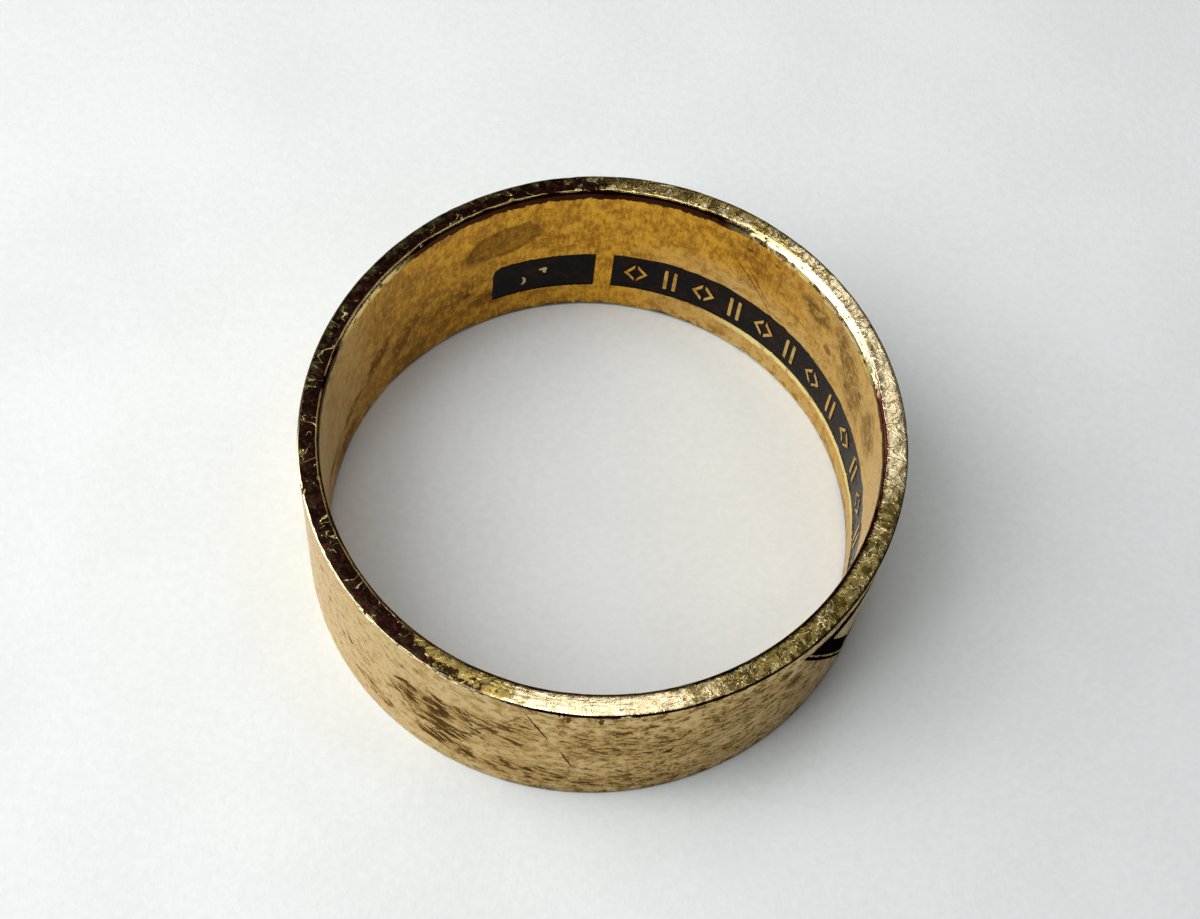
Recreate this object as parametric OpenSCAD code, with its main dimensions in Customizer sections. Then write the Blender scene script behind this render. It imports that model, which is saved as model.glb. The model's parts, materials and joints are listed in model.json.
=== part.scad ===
// A plain flat gold finger band. Black enamel is let into the wall of its finger hole, round a row of
// gold marks, and into its outer wall as a triangle. The band lies on its edge at Z 0. Millimetres.

/* [Band] */
// Diameter of the finger hole
bore_d = 19.4; // [16.4:0.1:23]
// Thickness of the wall, halfway between its thick and its thin side
wall_t = 0.8; // [0.7:0.05:1.2]
// Width of the band along the finger
band_w = 7.94; // [7.6:0.02:9]
// Rounding of the two edges round the outer wall
outer_edge_r = 0.08; // [0.05:0.01:0.12]
// Rounding of the two edges round the finger hole
inner_edge_r = 0.15; // [0.1:0.01:0.25]
// How far wear has left the finger hole off the outer wall's centre
bore_shift = 0.07; // [0:0.01:0.12]
// Where the wall is thinnest, in degrees from +X
thin_side = 145; // [0:5:355]

/* [Enamel] */
// Depth of the cut that the enamel fills
enamel_depth = 0.22; // [0.15:0.01:0.25]
// How far the enamel's face lies below the gold
enamel_sink = 0.03; // [0.01:0.01:0.05]
// Clearance between the enamel and the gold
enamel_gap = 0.015; // [0.01:0.005:0.02]

/* [Panels inside] */
// Height of the panels' lower side above the lower edge
panel_low = 1.5; // [0.8:0.1:3]
// Height of the panels along the finger
panel_h = 2.2; // [1.8:0.1:3]
// Where the long panel begins, in degrees from +X
long_panel_start = 93.7; // [60:0.1:120]
// Number of gold marks in the long panel
mark_count = 31; // [5:1:31]
// Turn from one mark to the next, in degrees
mark_step = 8.05; // [7.5:0.05:8.1]
// Turn from an end of the long panel to the middle of the nearest mark, in degrees
mark_margin = 5.5; // [4:0.5:8]
// Gold bridge between the two panels, in degrees
bridge_turn = 4; // [2:0.5:8]
// Length of the short panel, in degrees
short_panel_turn = 24; // [10:0.5:40]

/* [Marks] */
// Height of each mark
mark_h = 1.3; // [1:0.05:1.5]
// Width of a lozenge
lozenge_w = 0.95; // [0.8:0.05:1.1]
// Opening at a lozenge's two points, through which the enamel is one with its middle
lozenge_opening = 0.12; // [0.1:0.01:0.2]
// Width of the line that draws the marks
stroke_w = 0.15; // [0.1:0.01:0.18]
// Distance between the two bars of a reel, middle to middle
reel_pitch = 0.36; // [0.3:0.02:0.44]

/* [Triangle outside] */
// Side of the triangle
triangle_side = 7.1; // [5.5:0.1:7.3]
// Where its middle lies, in degrees from +X
triangle_angle = -22.5; // [-60:0.5:60]
// Width of the enamel outline
outline_w = 0.14; // [0.12:0.01:0.3]
// Width of the gold line inside the outline
gold_line_w = 0.1; // [0.08:0.01:0.18]
// Distance from the sloping sides to the bare middle
middle_in = 0.94; // [0.7:0.02:1.2]
// Distance from the level side to the bare middle
middle_down = 0.94; // [0.3:0.02:1.2]

/* [Hidden] */
$fn = 96;

bore_r = bore_d / 2;
band_r = bore_r + wall_t;
panel_mid = panel_low + panel_h / 2;
long_panel_turn = 2 * mark_margin + (mark_count - 1) * mark_step;
short_panel_start = long_panel_start + bridge_turn;
triangle_h = triangle_side * sqrt(3) / 2;
triangle_top = (band_w + triangle_h) / 2;

gold = "goldenrod";
enamel = "black";
over = 1;   // how far a cutting tool reaches past what it cuts

// Degrees round the finger hole that a length along its wall takes.
function turn_of(length) = length / bore_r * 180 / PI;

// Corners of the triangle with its sloping sides moved in and its level side moved down.
// The level side's middle is at 0, 0.
function inset_triangle(sides_in, top_down) =
    let (half = (triangle_h - top_down - 2 * sides_in) / sqrt(3))
    [[-half, -top_down], [half, -top_down], [0, 2 * sides_in - triangle_h]];

// What the finger hole holds belongs to the hole's own axis.
module round_the_bore() {
    translate(bore_shift * [cos(thin_side), sin(thin_side), 0]) children();
}

// The same outline at both edges of the band, a distance in from each.
module at_both_edges(x, inset) {
    for (z = [inset, band_w - inset])
        translate([x, z]) children();
}

// Outer form of the band, with its two outer edges rounded.
module disc() {
    e = outer_edge_r;
    rotate_extrude() {
        square([band_r - e, band_w]);
        translate([0, e]) square([band_r, band_w - 2 * e]);
        at_both_edges(band_r - e, e) circle(e);
    }
}

// What the finger hole takes away, flared where its two edges are rounded.
module bore_tool() {
    e = inner_edge_r;
    rotate_extrude()
        difference() {
            translate([0, -over]) square([bore_r + e, band_w + 2 * over]);
            translate([bore_r, e]) square([2 * e, band_w - 2 * e]);
            at_both_edges(bore_r + e, e) circle(e);
        }
}

// A panel round the finger hole: the cut itself, or the enamel that lies in it with a gap all round.
module panel(start, turn, is_enamel) {
    gap = is_enamel ? enamel_gap : 0;
    r_in = is_enamel ? bore_r + enamel_sink : bore_r - over;
    r_out = bore_r + enamel_depth - gap;
    rotate([0, 0, start + turn_of(gap)])
        rotate_extrude(angle = turn - 2 * turn_of(gap))
            translate([r_in, panel_low + gap])
                square([r_out - r_in, panel_h - 2 * gap]);
}

// A lozenge drawn with one line that is open at its two points. It can grow by a clearance all round.
module lozenge(grow) {
    slope = sqrt(pow(lozenge_w, 2) + pow(mark_h, 2)) / mark_h;   // a level width over a square one
    module diamond(w) {
        h = w * mark_h / lozenge_w;
        polygon([[w / 2, 0], [0, h / 2], [-w / 2, 0], [0, -h / 2]]);
    }
    difference() {
        diamond(lozenge_w + 2 * grow * slope);
        diamond(lozenge_w - 2 * (stroke_w + grow) * slope);
        square([lozenge_opening - 2 * grow, 2 * mark_h], center = true);
    }
}

// Two upright bars side by side.
module reel(grow) {
    for (side = [-1, 1])
        translate([side * reel_pitch / 2, 0])
            square([stroke_w + 2 * grow, mark_h + 2 * grow], center = true);
}

// The row of marks, as prisms through the wall of the finger hole: lozenges and reels in turn.
module marks(grow) {
    for (i = [0:mark_count - 1])
        rotate([0, 0, long_panel_start - mark_margin - i * mark_step])
            translate([bore_r - over, 0, panel_mid])
                rotate([90, 0, 90])
                    linear_extrude(over + wall_t)
                        if (i % 2 == 0) lozenge(grow);
                        else reel(grow);
}

// The triangle's enamel drawn flat: an outline, and a bold chevron that hangs from its level side.
module triangle_drawing(gap) {
    field_in = outline_w + gold_line_w;
    difference() {
        polygon(inset_triangle(gap, gap));
        polygon(inset_triangle(outline_w - gap, outline_w - gap));
    }
    difference() {
        polygon(inset_triangle(field_in + gap, gap));
        polygon(inset_triangle(middle_in - gap, middle_down - gap));
    }
}

// The drawing wrapped in the outer wall, between two radii.
module triangle_slab(gap, r_in, r_out) {
    intersection() {
        rotate([0, 0, triangle_angle])
            translate([0, 0, triangle_top])
                rotate([90, 0, 90])
                    linear_extrude(band_r + 2 * over)
                        triangle_drawing(gap);
        difference() {
            cylinder(r = r_out, h = band_w);
            translate([0, 0, -over]) cylinder(r = r_in, h = band_w + 2 * over);
        }
    }
}

module band() {
    color(gold)
        difference() {
            disc();
            round_the_bore() {
                bore_tool();
                difference() {
                    panel(long_panel_start - long_panel_turn, long_panel_turn, false);
                    marks(0);
                }
                panel(short_panel_start, short_panel_turn, false);
            }
            triangle_slab(0, band_r - enamel_depth, band_r + over);
        }
}

module long_inner_panel() {
    color(enamel)
        round_the_bore()
            difference() {
                panel(long_panel_start - long_panel_turn, long_panel_turn, true);
                marks(enamel_gap);
            }
}

module short_inner_panel() {
    color(enamel)
        round_the_bore()
            panel(short_panel_start, short_panel_turn, true);
}

module outer_triangle() {
    color(enamel)
        triangle_slab(enamel_gap, band_r - enamel_depth + enamel_gap, band_r - enamel_sink);
}

band();
long_inner_panel();
short_inner_panel();
outer_triangle();
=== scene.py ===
import json
import math
from types import SimpleNamespace

import bmesh
import bpy
from mathutils import Matrix, Vector


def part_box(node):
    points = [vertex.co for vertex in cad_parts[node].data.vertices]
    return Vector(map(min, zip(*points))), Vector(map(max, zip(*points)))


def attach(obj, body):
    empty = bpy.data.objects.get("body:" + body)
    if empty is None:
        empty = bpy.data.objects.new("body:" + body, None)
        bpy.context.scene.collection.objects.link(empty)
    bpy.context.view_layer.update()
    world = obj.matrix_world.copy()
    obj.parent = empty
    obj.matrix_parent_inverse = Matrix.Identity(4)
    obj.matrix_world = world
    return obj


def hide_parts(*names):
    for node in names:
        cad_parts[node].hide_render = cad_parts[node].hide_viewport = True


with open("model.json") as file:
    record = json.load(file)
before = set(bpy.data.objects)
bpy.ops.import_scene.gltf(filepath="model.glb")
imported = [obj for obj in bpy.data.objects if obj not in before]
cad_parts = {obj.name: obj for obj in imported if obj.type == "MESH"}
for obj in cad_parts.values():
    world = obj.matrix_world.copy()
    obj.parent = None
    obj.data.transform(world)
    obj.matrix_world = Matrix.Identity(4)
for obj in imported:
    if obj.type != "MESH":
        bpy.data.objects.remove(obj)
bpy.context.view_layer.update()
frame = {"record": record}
scene = bpy.context.scene
mm = 0.001


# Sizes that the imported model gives

bandLow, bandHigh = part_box("band")
panelLow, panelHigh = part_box("long_inner_panel")
fingerBore = next(m for m in frame["record"]["mounts"] if m["name"] == "finger_bore")
ring = {
    "outerRadius": (bandHigh.x - bandLow.x) / 2,
    "boreRadius": fingerBore["dims"]["r_mm"] * mm,
    "boreCentre": Vector((fingerBore["pos_m"][0], fingerBore["pos_m"][1], 0.0)),
    "width": bandHigh.z,
}

# How the enamel lies in its cuts
inlay = {
    "depth": 0.22 * mm,
    "sink": 0.03 * mm,
    "gap": 0.015 * mm,
    "over": 0.3 * mm,   # how far a cutting shape reaches past what it cuts
}


# Node helpers

class NodeSheet:
    def __init__(self, tree):
        self.tree = tree

    def add(self, kind, inputs=None, **settings):
        node = self.tree.nodes.new(kind)
        for name, value in settings.items():
            setattr(node, name, value)
        for name, value in (inputs or {}).items():
            self.feed(node.inputs[name], value)
        return node

    def feed(self, socket, value):
        if isinstance(value, bpy.types.NodeSocket):
            self.tree.links.new(value, socket)
        elif socket.type == "RGBA" and len(value) == 3:
            socket.default_value = (*value, 1.0)
        else:
            socket.default_value = value

    def math(self, operation, *values, clamp=False):
        node = self.add("ShaderNodeMath", operation=operation, use_clamp=clamp)
        for socket, value in zip(node.inputs, values):
            self.feed(socket, value)
        return node.outputs[0]

    def total(self, *values, clamp=False):
        result = values[0]
        for value in values[1:]:
            result = self.math("ADD", result, value, clamp=clamp)
        return result

    def product(self, *values):
        result = values[0]
        for value in values[1:]:
            result = self.math("MULTIPLY", result, value)
        return result

    def most(self, *values):
        result = values[0]
        for value in values[1:]:
            result = self.math("MAXIMUM", result, value)
        return result

    # 1 where a mask is 0, and 0 where it is 1
    def opposite(self, mask):
        return self.math("SUBTRACT", 1.0, mask)

    def vector(self, operation, *values, scale=None):
        node = self.add("ShaderNodeVectorMath", operation=operation)
        for socket, value in zip(node.inputs, values):
            self.feed(socket, value)
        if scale is not None:
            self.feed(node.inputs["Scale"], scale)
        return node.outputs["Value" if operation in ("DOT_PRODUCT", "LENGTH") else "Vector"]

    def split(self, vector):
        return self.add("ShaderNodeSeparateXYZ", {0: vector}).outputs

    def join(self, x, y, z):
        return self.add("ShaderNodeCombineXYZ", {0: x, 1: y, 2: z}).outputs[0]

    # from low to high while the value goes from start to end, which may run downwards
    def step(self, value, start, end, low=0.0, high=1.0, kind="SMOOTHSTEP"):
        node = self.add("ShaderNodeMapRange", interpolation_type=kind)
        for socket, number in zip(node.inputs, (value, start, end, low, high)):
            self.feed(socket, number)
        return node.outputs[0]

    def noise(self, vector, scale, detail=3.0, rough=0.55, distortion=0.0):
        node = self.add("ShaderNodeTexNoise", {"Vector": vector, "Scale": scale, "Detail": detail,
                                               "Roughness": rough, "Distortion": distortion})
        return node.outputs[0]

    # thin curved lines where a noise crosses its middle
    def hairs(self, vector, scale, thickness, distortion=1.5):
        wave = self.noise(vector, scale, 2.0, 0.5, distortion)
        offCentre = self.math("ABSOLUTE", self.math("SUBTRACT", wave, 0.5))
        return self.step(offCentre, thickness, thickness * 0.3)

    def tint(self, first, second, amount):
        node = self.add("ShaderNodeMix", data_type="RGBA", blend_type="MIX", clamp_factor=True)
        for index, value in ((0, amount), (6, first), (7, second)):
            self.feed(node.inputs[index], value)
        return node.outputs[2]


# Starts a Geometry Nodes tree with named inputs
def startShape(name, inputs):
    tree = bpy.data.node_groups.new(name, "GeometryNodeTree")
    for label, kind in inputs:
        tree.interface.new_socket(label, in_out="INPUT", socket_type="NodeSocket" + kind)
    tree.interface.new_socket("Geometry", in_out="OUTPUT", socket_type="NodeSocketGeometry")
    sheet = NodeSheet(tree)
    given = sheet.add("NodeGroupInput").outputs
    return sheet, {label: given[index] for index, (label, kind) in enumerate(inputs)}


# Every tree ends in real geometry with its material
def endShape(sheet, geometry, material):
    solid = sheet.add("GeometryNodeRealizeInstances", {"Geometry": geometry})
    dressed = sheet.add("GeometryNodeSetMaterial", {"Geometry": solid.outputs[0], "Material": material})
    sheet.add("NodeGroupOutput", {0: dressed.outputs[0]})
    return sheet.tree


# Runs a tree and keeps its result as a plain mesh
def makeMesh(name, tree, values, start=None):
    piece = bpy.data.objects.new(name, start or bpy.data.meshes.new(name + "Start"))
    scene.collection.objects.link(piece)
    modifier = piece.modifiers.new("shape", "NODES")
    modifier.node_group = tree
    for item in tree.interface.items_tree:
        if item.in_out == "INPUT" and item.name in values:
            modifier[item.identifier] = values[item.name]
    graph = bpy.context.evaluated_depsgraph_get()
    mesh = bpy.data.meshes.new_from_object(piece.evaluated_get(graph), depsgraph=graph)
    mesh.name = name
    piece.modifiers.remove(modifier)
    piece.data = mesh
    return piece


def discard(objects):
    for item in objects:
        bpy.data.objects.remove(item)


# Materials. Their patterns are laid out in millimetres, and their colours are linear light.

def startMaterial(name, roughness, metallic=0.0):
    material = bpy.data.materials.new(name)
    material.use_nodes = True
    sheet = NodeSheet(material.node_tree)
    shader = material.node_tree.nodes["Principled BSDF"]
    shader.inputs["Metallic"].default_value = metallic
    shader.inputs["Roughness"].default_value = roughness
    place = sheet.vector("SCALE", sheet.add("ShaderNodeTexCoord").outputs["Object"], scale=1 / mm)
    return material, sheet, shader, place


# A soft oval on a wall, 1 at its middle and 0 at its rim, that reaches half a millimetre into the wall
def ovalMask(sheet, place, radius, angle, height, long, wide, turn):
    a = math.radians(angle)
    lens = sheet.add("ShaderNodeMapping", {"Vector": place}, vector_type="TEXTURE")
    lens.inputs["Location"].default_value = (radius * math.cos(a), radius * math.sin(a), height)
    lens.inputs["Rotation"].default_value = (math.radians(turn), 0.0, a)
    lens.inputs["Scale"].default_value = (0.5, long, wide)
    ball = sheet.add("ShaderNodeTexGradient", {"Vector": lens.outputs[0]}, gradient_type="SPHERICAL")
    return ball.outputs[1]


# The ovals of a table's rows: angle, height, half length, half width, turn, strength
def ovals(sheet, place, radius, rows, start, end):
    masks = [sheet.step(ovalMask(sheet, place, radius, *row[:5]), start, end, 0.0, row[5]) for row in rows]
    return sheet.most(*masks)


# 1 all along a stretch round the ring: its middle, half length and the softness of its ends, in degrees
def stretch(sheet, around, middle, half, soft):
    a = math.radians(middle)
    lean = sheet.vector("DOT_PRODUCT", around, (math.cos(a), math.sin(a), 0.0))
    start, full = math.radians(half + soft), math.radians(max(half - soft, 0.0))
    return sheet.step(lean, math.cos(start), math.cos(full))


# Streaks that climb the wall at an angle: turning with the height makes them seamless round the ring
def streaks(sheet, place, climb, across, along, detail):
    height = sheet.split(place)[2]
    turned = sheet.add("ShaderNodeVectorRotate", {"Vector": place, "Angle": sheet.product(height, climb)},
                       rotation_type="Z_AXIS")
    stretched = sheet.vector("MULTIPLY", turned.outputs[0], (across, across, along))
    return sheet.noise(stretched, 1.0, detail, 0.6)


# Strokes that run along the wall and lean a little; leaning by x keeps them seamless round the ring
def leaningStrokes(sheet, place, lean, along, across):
    x, y, z = sheet.split(place)
    slanted = sheet.math("MULTIPLY_ADD", x, lean, z)
    stretched = sheet.join(sheet.product(x, along), sheet.product(y, along), sheet.product(slanted, across))
    return sheet.noise(stretched, 1.0, 3.0, 0.6)


# Shakes a place by a little noise, so that painted shapes get living outlines
def shake(sheet, place, scale, amount):
    cloud = sheet.add("ShaderNodeTexNoise", {"Vector": place, "Scale": scale, "Detail": 3.0})
    centred = sheet.vector("SUBTRACT", cloud.outputs[1], (0.5, 0.5, 0.5))
    return sheet.vector("MULTIPLY_ADD", centred, (amount, amount, amount), place)


# Gold

goldLook = {
    "pale": (0.62, 0.455, 0.25),
    "ochre": (0.43, 0.255, 0.075),
    # amber and amberDeep: the inner wall's colour, partly tarnish and partly a painted interreflection of
    # gold on gold
    "amber": (0.78, 0.40, 0.040),
    "amberDeep": (0.32, 0.125, 0.010),
    # cream: the inner wall's paler ends, a painted reflection of the bright floor seen at a low angle
    "cream": (0.68, 0.47, 0.19),
    "bright": (0.92, 0.74, 0.44),
    "rimGold": (0.88, 0.71, 0.42),
    "glint": (0.96, 0.76, 0.28),
    # painted highlight colour of the bright line below the long panel
    "highlightGold": (1.0, 0.88, 0.40),
    "olive": (0.32, 0.225, 0.055),
    "oliveDeep": (0.085, 0.062, 0.016),
    "brown": (0.115, 0.062, 0.016),
    "umber": (0.045, 0.020, 0.006),
    "rust": (0.13, 0.045, 0.006),
    "dark": (0.014, 0.005, 0.004),
    "darkRed": (0.045, 0.012, 0.008),
    "crust": (0.070, 0.062, 0.022),
    "redBrown": (0.040, 0.008, 0.005),
    "sheen": (1.0, 0.90, 0.66),   # keeps the gold yellow where it is seen at a low angle
    # stretches round the ring, in degrees: middle, half length, softness of the ends
    "stretches": {
        "outerFront": (300.0, 45.0, 25.0),
        "outerFrontRight": (308.0, 30.0, 22.0),
        "outerFoot": (290.0, 40.0, 15.0),
        "outerHem": (298.0, 36.0, 8.0),
        "outerBareEdge": (226.0, 32.0, 8.0),
        "innerLeftEnd": (182.0, 16.0, 12.0),
        "innerRightEnd": (2.0, 38.0, 22.0),
        "innerBackLeft": (133.0, 22.0, 16.0),
        "innerLeftFoot": (164.0, 20.0, 6.0),
        "innerBareEdgeLeft": (157.0, 9.0, 6.0),
        "innerBareEdgeRight": (44.0, 20.0, 8.0),
        "abovePanel": (50.0, 24.0, 20.0),
        "belowPanel": (36.0, 30.0, 8.0),
        "rimDirty": (168.0, 66.0, 14.0),
        "rimCrust": (132.0, 42.0, 20.0),
        "rimLine": (148.0, 90.0, 10.0),
        "rimBack": (82.0, 24.0, 16.0),
        "rimRightBack": (24.0, 30.0, 14.0),
        "rimRightCalm": (35.0, 25.0, 12.0),
        "rimRightFront": (326.0, 26.0, 14.0),
        "rimFront": (272.0, 15.0, 10.0),
        "rimLeftFront": (243.0, 8.0, 12.0),
        "rimLeftOlive": (248.0, 9.0, 8.0),
        "rimLeftCalm": (248.0, 12.0, 8.0),
    },
    # rows of ovals: angle, height, half length, half width, turn, strength
    "outerPatches": [
        (243.5, 4.4, 2.1, 1.3, 32.0, 1.0), (250.0, 5.0, 1.3, 0.8, 30.0, 0.9),
        (248.5, 1.8, 1.9, 0.8, -8.0, 0.9), (246.5, 3.0, 1.9, 0.9, 8.0, 1.0),
        (253.0, 1.4, 1.2, 0.6, -8.0, 0.8), (231.0, 1.6, 1.5, 0.6, -14.0, 0.7),
        (226.0, 3.6, 1.8, 0.8, 35.0, 0.35), (259.0, 4.8, 2.0, 1.5, 50.0, 0.55),
        (264.0, 1.6, 2.8, 1.3, 0.0, 0.6), (279.0, 5.0, 2.4, 1.7, 0.0, 0.5),
        (292.0, 4.2, 2.8, 2.2, 20.0, 0.6), (306.0, 5.6, 2.6, 2.2, 20.0, 0.7),
        (321.0, 4.4, 2.2, 2.8, 0.0, 0.75), (284.0, 1.2, 3.4, 1.0, 0.0, 0.65),
        (304.0, 1.6, 3.0, 1.2, 10.0, 0.6),
    ],
    "outerMarks": [
        (266.0, 6.3, 1.4, 0.05, -68.0, 1.0), (272.0, 3.6, 0.95, 0.05, -72.0, 1.0),
        (291.2, 3.8, 0.24, 0.13, 25.0, 1.0), (264.9, 1.9, 0.30, 0.13, -10.0, 1.0),
        (223.9, 3.5, 0.22, 0.11, -50.0, 0.9), (238.5, 5.0, 0.55, 0.12, 38.0, 1.0),
        (252.0, 3.5, 0.7, 0.09, 30.0, 0.8), (256.0, 4.7, 0.9, 0.06, 52.0, 0.7),
        (216.6, 4.4, 0.2, 0.12, -60.0, 0.8), (261.5, 6.5, 0.9, 0.05, 60.0, 0.6),
        (281.9, 6.3, 0.3, 0.16, 10.0, 0.8), (299.0, 3.2, 1.6, 0.045, 22.0, 0.7),
        (308.0, 4.4, 1.9, 0.045, 30.0, 0.7), (287.0, 6.7, 0.35, 0.08, 20.0, 0.8),
        (314.0, 6.6, 0.4, 0.3, 0.0, 0.7), (282.5, 2.4, 0.3, 0.1, -50.0, 0.8),
        (271.3, 7.5, 0.10, 0.35, 0.0, 0.9), (277.2, 7.5, 0.10, 0.35, 0.0, 0.9),
        (317.4, 5.2, 0.5, 0.35, 0.0, 0.8), (276.0, 1.2, 0.22, 0.09, 30.0, 0.9),
        (247.0, 2.6, 0.28, 0.08, 35.0, 0.8),
    ],
    "ringStain": (279.0, 4.7, 0.62, 0.26, 0.0),
    "innerBlots": [
        (155.0, 3.0, 1.8, 0.55, -40.0, 1.0), (167.0, 2.1, 1.5, 0.45, -20.0, 1.0),
        (179.0, 1.7, 1.4, 0.36, 0.0, 0.9), (152.0, 5.6, 2.4, 1.1, -20.0, 0.4),
        (177.0, 5.4, 1.1, 2.0, 0.0, 0.35), (122.0, 1.9, 2.2, 0.8, -10.0, 0.75),
        (133.0, 2.8, 2.4, 0.8, -20.0, 0.75), (146.0, 2.6, 2.6, 0.7, -48.0, 0.8),
        (141.0, 1.2, 2.6, 0.9, -20.0, 0.45), (60.0, 6.2, 2.4, 1.2, 20.0, 0.35),
        (31.0, 6.2, 2.2, 1.0, 40.0, 0.75), (27.0, 5.2, 1.6, 1.4, 60.0, 0.7),
        (16.0, 5.6, 1.2, 1.6, 0.0, 0.75), (171.0, 0.8, 2.0, 0.7, 0.0, 0.9),
        (44.0, 6.5, 1.2, 0.7, 0.0, 0.75),
    ],
    "innerMarks": [
        (61.3, 4.9, 2.0, 0.045, 48.0, 0.9), (60.9, 5.2, 1.2, 0.04, 52.0, 0.8),
        (70.0, 5.4, 1.3, 0.035, 40.0, 0.5), (47.0, 4.9, 1.9, 0.045, 6.0, 0.7),
        (34.0, 6.0, 1.4, 0.035, 55.0, 0.5), (64.0, 6.9, 0.16, 0.12, 0.0, 0.9),
        (38.5, 5.2, 0.3, 0.26, 0.0, 0.9), (57.0, 7.0, 0.14, 0.12, 0.0, 0.9),
        (30.0, 4.9, 0.13, 0.11, 0.0, 0.9), (24.0, 5.9, 0.2, 0.16, 0.0, 0.8),
        (128.5, 2.6, 0.2, 0.18, 0.0, 0.9), (121.5, 2.0, 0.26, 0.2, 0.0, 0.8),
    ],
    "ovalStain": (120.0, 5.45, 1.8, 0.95, -14.0),
}


# What the zones of the gold share
def goldFields(sheet, place, look):
    x, y, z = sheet.split(place)
    around = sheet.vector("NORMALIZE", sheet.join(x, y, 0.0))
    normal = sheet.add("ShaderNodeTexCoord").outputs["Normal"]
    upright = sheet.math("ABSOLUTE", sheet.split(normal)[2])
    isOuter = sheet.step(sheet.vector("DOT_PRODUCT", normal, around), -0.05, 0.05)

    def along(name):
        return stretch(sheet, around, *look["stretches"][name])

    return SimpleNamespace(
        place=place, height=z, around=around, along=along, upright=upright,
        top=ring["width"] / mm, outerRadius=ring["outerRadius"] / mm, innerRadius=ring["boreRadius"] / mm,
        isOuter=isOuter, isInner=sheet.opposite(isOuter),
        isRim=sheet.step(upright, 0.87, 0.96), isWall=sheet.step(upright, 0.30, 0.10),
        reach=sheet.vector("LENGTH", sheet.join(x, y, 0.0)),
        bareInner=sheet.most(along("innerBareEdgeRight"), along("innerBareEdgeLeft")),
        bent=shake(sheet, place, 2.2, 0.5), lively=shake(sheet, place, 5.0, 0.12),
        cloudy=sheet.noise(place, 1.1, 3.0, 0.6), mottled=sheet.noise(place, 2.6, 3.0, 0.6),
        grain=sheet.noise(place, 6.5, 3.0, 0.65), fine=sheet.noise(place, 17.0, 1.0, 0.6))


# Outer wall: pale gold with ochre veils, brown streaks in patches, ticks and hairlines
def outerWall(sheet, f, look):
    front, frontRight = f.along("outerFront"), f.along("outerFrontRight")
    patches = ovals(sheet, f.bent, f.outerRadius, look["outerPatches"], 0.0, 0.5)
    veil = sheet.total(f.mottled, sheet.product(patches, 0.22), sheet.product(front, 0.12))
    colour = sheet.tint(look["pale"], look["ochre"], sheet.step(veil, 0.46, 0.70, 0.0, 0.9))
    leaning = leaningStrokes(sheet, f.lively, 0.32, 1.8, 5.5)
    strength = sheet.total(leaning, sheet.product(patches, 0.16), sheet.product(front, 0.02))
    strokes = sheet.product(sheet.step(strength, 0.62, 0.66),
                            sheet.total(sheet.product(patches, 0.4), 0.65),
                            sheet.step(frontRight, 0.0, 1.0, 1.0, 0.45))
    cores = sheet.product(sheet.step(strength, 0.69, 0.74), 0.6)
    mottle = sheet.product(sheet.step(sheet.total(f.grain, f.mottled), 1.02, 1.20),
                           sheet.total(sheet.product(frontRight, 0.9), 0.15), 0.75)
    foot = sheet.product(sheet.step(f.height, 1.0, 0.1), sheet.step(f.cloudy, 0.4, 0.6),
                         f.along("outerFoot"), 0.55)
    waves = sheet.product(sheet.hairs(f.lively, 0.8, 0.011), sheet.step(f.mottled, 0.47, 0.56), 0.6)
    marks = ovals(sheet, f.lively, f.outerRadius, look["outerMarks"], 0.0, 0.35)
    ball = ovalMask(sheet, f.lively, f.outerRadius, *look["ringStain"])
    hoop = sheet.product(sheet.step(ball, 0.05, 0.2), sheet.step(ball, 0.5, 0.3), 0.75)
    stain = sheet.total(strokes, mottle, foot, waves, hoop, clamp=True)
    colour = sheet.tint(colour, look["brown"], sheet.product(stain, 0.9))
    colour = sheet.tint(colour, look["umber"], sheet.most(sheet.product(marks, 0.85), cores))
    # a dark hem right under the upper edge, partly dirt and partly a painted dark reflection of the rounded
    # edge
    wavyHeight = sheet.total(f.height, sheet.product(f.mottled, 0.12))
    hem = sheet.product(sheet.step(wavyHeight, f.top - 0.07, f.top - 0.04), f.along("outerHem"))
    return sheet.tint(colour, look["dark"], hem), sheet.most(stain, marks)
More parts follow.
